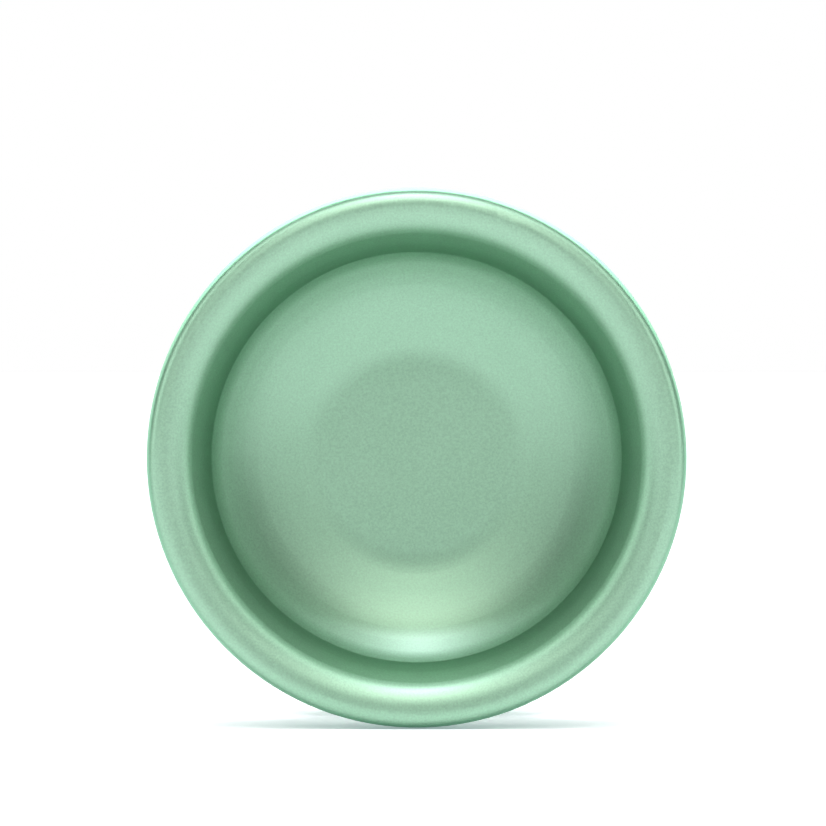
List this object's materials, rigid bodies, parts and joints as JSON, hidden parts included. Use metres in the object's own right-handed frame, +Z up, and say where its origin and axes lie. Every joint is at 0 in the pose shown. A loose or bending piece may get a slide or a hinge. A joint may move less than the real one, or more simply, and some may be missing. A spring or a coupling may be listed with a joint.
{
  "type": "yo-yo",
  "caption": "Turned aluminium yo-yo with deep dished cups, thick rounded rims and a V-shaped string gap round a ball bearing on a threaded axle.",
  "frame": {"origin": "centre of the bearing, on the spin axis and in the middle of the string gap", "axes": "+Y along the axle towards the rear half, +Z up as it stands on its rims, +X completes the frame"},
  "size_m": [0.056, 0.043, 0.056],
  "materials": {
    "anodised_aluminium": "bead blasted and anodised pale green",
    "silicone": "moulded matt",
    "axle_steel": "stainless, rolled thread",
    "bearing_steel": "ground",
    "ball_steel": "lapped mirror",
    "shield_steel": "pressed",
    "spring_steel": "spring temper",
    "cage_nylon": "moulded, natural colour"
  },
  "bodies": {
    "front": {"front_half": "anodised_aluminium", "front_response_pad": "silicone", "axle": "axle_steel", "bearing_inner_race": "bearing_steel"},
    "bearing_outer": {"bearing_outer_race": "bearing_steel", "front_shield": "shield_steel", "rear_shield": "shield_steel", "front_snap_ring": "spring_steel", "rear_snap_ring": "spring_steel"},
    "bearing_cage": {"bearing_cage": "cage_nylon"},
    "bearing_ball_01": {"bearing_ball_01": "ball_steel"},
    "bearing_ball_02": {"bearing_ball_02": "ball_steel"},
    "bearing_ball_03": {"bearing_ball_03": "ball_steel"},
    "bearing_ball_04": {"bearing_ball_04": "ball_steel"},
    "bearing_ball_05": {"bearing_ball_05": "ball_steel"},
    "bearing_ball_06": {"bearing_ball_06": "ball_steel"},
    "bearing_ball_07": {"bearing_ball_07": "ball_steel"},
    "bearing_ball_08": {"bearing_ball_08": "ball_steel"},
    "bearing_ball_09": {"bearing_ball_09": "ball_steel"},
    "bearing_ball_10": {"bearing_ball_10": "ball_steel"},
    "rear_pad": {"rear_response_pad": "silicone"},
    "rear": {"rear_half": "anodised_aluminium"}
  },
  "joints": [
    {"name": "bearing_spin", "type": "hinge", "parent": "front", "child": "bearing_outer", "pos_m": [0, 0, 0], "axis": [0, 1, 0], "continuous": true},
    {"name": "cage_orbit", "type": "hinge", "parent": "front", "child": "bearing_cage", "pos_m": [0, 0, 0], "axis": [0, 1, 0], "continuous": true},
    {"name": "ball_01_roll", "type": "hinge", "parent": "bearing_cage", "child": "bearing_ball_01", "pos_m": [0, 0, 0.00476], "axis": [0, 1, 0], "continuous": true},
    {"name": "ball_02_roll", "type": "hinge", "parent": "bearing_cage", "child": "bearing_ball_02", "pos_m": [0.0028, 0, 0.00385], "axis": [0, 1, 0], "continuous": true},
    {"name": "ball_03_roll", "type": "hinge", "parent": "bearing_cage", "child": "bearing_ball_03", "pos_m": [0.00453, 0, 0.00147], "axis": [0, 1, 0], "continuous": true},
    {"name": "ball_04_roll", "type": "hinge", "parent": "bearing_cage", "child": "bearing_ball_04", "pos_m": [0.00453, 0, -0.00147], "axis": [0, 1, 0], "continuous": true},
    {"name": "ball_05_roll", "type": "hinge", "parent": "bearing_cage", "child": "bearing_ball_05", "pos_m": [0.0028, 0, -0.00385], "axis": [0, 1, 0], "continuous": true},
    {"name": "ball_06_roll", "type": "hinge", "parent": "bearing_cage", "child": "bearing_ball_06", "pos_m": [0, 0, -0.00476], "axis": [0, 1, 0], "continuous": true},
    {"name": "ball_07_roll", "type": "hinge", "parent": "bearing_cage", "child": "bearing_ball_07", "pos_m": [-0.0028, 0, -0.00385], "axis": [0, 1, 0], "continuous": true},
    {"name": "ball_08_roll", "type": "hinge", "parent": "bearing_cage", "child": "bearing_ball_08", "pos_m": [-0.00453, 0, -0.00147], "axis": [0, 1, 0], "continuous": true},
    {"name": "ball_09_roll", "type": "hinge", "parent": "bearing_cage", "child": "bearing_ball_09", "pos_m": [-0.00453, 0, 0.00147], "axis": [0, 1, 0], "continuous": true},
    {"name": "ball_10_roll", "type": "hinge", "parent": "bearing_cage", "child": "bearing_ball_10", "pos_m": [-0.0028, 0, 0.00385], "axis": [0, 1, 0], "continuous": true},
    {"name": "rear_half_travel", "type": "slide", "parent": "front", "child": "rear_pad", "axis": [0, 1, 0], "range_m": [0, 0.0042]},
    {"name": "rear_half_unscrew", "type": "hinge", "parent": "rear_pad", "child": "rear", "pos_m": [0, 0, 0], "axis": [0, 1, 0], "range_deg": [0, 2160]}
  ],
  "couplings": [
    {"joint": "cage_orbit", "follows": "bearing_spin", "ratio": 0.58333},
    {"joint": "ball_01_roll", "follows": "bearing_spin", "ratio": 2.9167},
    {"joint": "ball_02_roll", "follows": "bearing_spin", "ratio": 2.9167},
    {"joint": "ball_03_roll", "follows": "bearing_spin", "ratio": 2.9167},
    {"joint": "ball_04_roll", "follows": "bearing_spin", "ratio": 2.9167},
    {"joint": "ball_05_roll", "follows": "bearing_spin", "ratio": 2.9167},
    {"joint": "ball_06_roll", "follows": "bearing_spin", "ratio": 2.9167},
    {"joint": "ball_07_roll", "follows": "bearing_spin", "ratio": 2.9167},
    {"joint": "ball_08_roll", "follows": "bearing_spin", "ratio": 2.9167},
    {"joint": "ball_09_roll", "follows": "bearing_spin", "ratio": 2.9167},
    {"joint": "ball_10_roll", "follows": "bearing_spin", "ratio": 2.9167},
    {"joint": "rear_half_travel", "follows": "rear_half_unscrew", "m_per_rad": 0.00011141}
  ]
}
